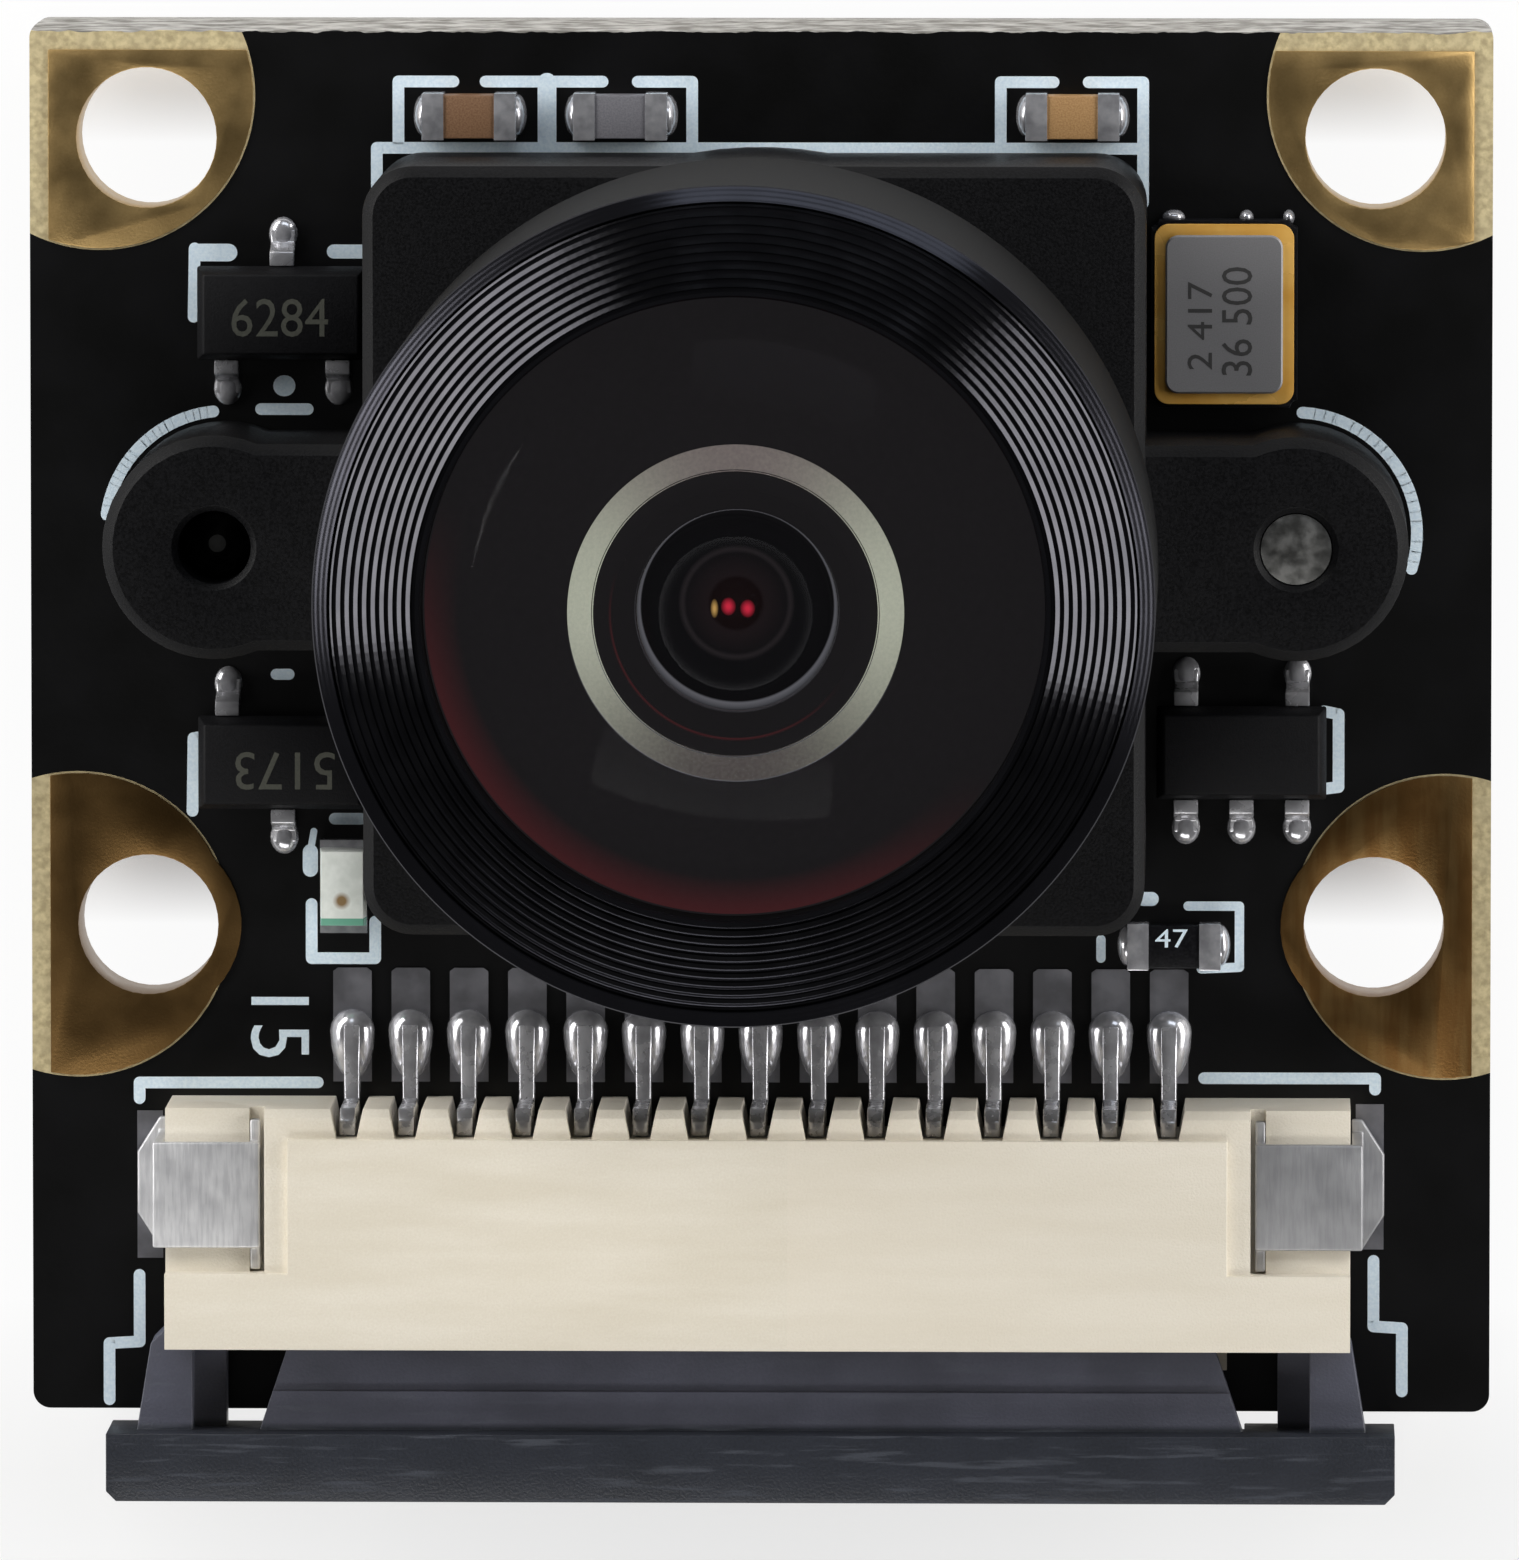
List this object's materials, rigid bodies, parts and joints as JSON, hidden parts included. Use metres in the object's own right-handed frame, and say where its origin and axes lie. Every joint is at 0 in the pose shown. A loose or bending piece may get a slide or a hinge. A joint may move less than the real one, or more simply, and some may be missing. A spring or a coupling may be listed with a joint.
{
  "type": "camera module",
  "caption": "Small camera board with a wide-angle lens screwed into a two-eared holder, gold mounting lands and a flat-cable connector whose slide lock is pulled open.",
  "frame": {"origin": "centre of the rectangle of mounting holes, on the board's back face", "axes": "+Z out of the lens along its axis, +X along the connector, +Y away from the connector"},
  "size_m": [0.025, 0.0253, 0.021],
  "materials": {
    "board_laminate": "satin",
    "gold_plating": "satin",
    "black_moulding": "fine grain",
    "screw_steel": "satin",
    "sensor_package": "matte",
    "lens_glass": "polished",
    "filter_glass": "polished",
    "black_anodised": "turned",
    "cream_moulding": "satin",
    "dark_moulding": "satin",
    "tinned_metal": "bright",
    "grey_lid_metal": "matte",
    "black_ceramic": "matte",
    "brown_ceramic": "matte",
    "grey_ceramic": "matte",
    "tan_ceramic": "matte",
    "clear_resin": "glossy"
  },
  "bodies": {
    "module": {"circuit_board": "board_laminate", "mounting_lands": "gold_plating", "lens_holder": "black_moulding", "holder_screws": "screw_steel", "image_sensor": "sensor_package", "sensor_cover_glass": "lens_glass", "connector_housing": "cream_moulding", "hold_down_left": "tinned_metal", "hold_down_right": "tinned_metal", "oscillator_base": "black_ceramic", "oscillator_seal_ring": "gold_plating", "oscillator_lid": "grey_lid_metal", "capacitor_left_body": "brown_ceramic", "capacitor_left_ends": "tinned_metal", "ferrite_bead_body": "grey_ceramic", "ferrite_bead_ends": "tinned_metal", "capacitor_right_body": "tan_ceramic", "capacitor_right_ends": "tinned_metal", "indicator_led_base": "black_moulding", "indicator_led_lens": "clear_resin", "indicator_led_ends": "tinned_metal", "resistor_body": "black_ceramic", "resistor_ends": "tinned_metal", "regulator_upper_body": "black_moulding", "regulator_upper_leads": "tinned_metal", "regulator_lower_body": "black_moulding", "regulator_lower_leads": "tinned_metal", "regulator_right_body": "black_moulding", "regulator_right_leads": "tinned_metal", "contact_01": "tinned_metal", "contact_02": "tinned_metal", "contact_03": "tinned_metal", "contact_04": "tinned_metal", "contact_05": "tinned_metal", "contact_06": "tinned_metal", "contact_07": "tinned_metal", "contact_08": "tinned_metal", "contact_09": "tinned_metal", "contact_10": "tinned_metal", "contact_11": "tinned_metal", "contact_12": "tinned_metal", "contact_13": "tinned_metal", "contact_14": "tinned_metal", "contact_15": "tinned_metal"},
    "lens": {"lens_barrel": "black_anodised", "front_retaining_ring": "black_anodised", "front_element": "lens_glass", "front_spacer": "black_anodised", "second_element": "lens_glass", "middle_spacer": "black_anodised", "third_element": "lens_glass", "aperture_stop": "black_anodised", "rear_element": "lens_glass", "rear_spacer": "black_anodised", "field_element": "lens_glass", "infrared_filter": "filter_glass"},
    "slide_lock": {"slide_lock": "dark_moulding"}
  },
  "joints": [
    {"name": "focus_turn", "type": "hinge", "parent": "module", "child": "lens", "pos_m": [0, 0, 0.0095], "axis": [0, 0, 1], "range_deg": [-288, 720]},
    {"name": "lock_slide", "type": "slide", "parent": "module", "child": "slide_lock", "axis": [0, 1, 0], "range_m": [0, 0.00144]}
  ]
}
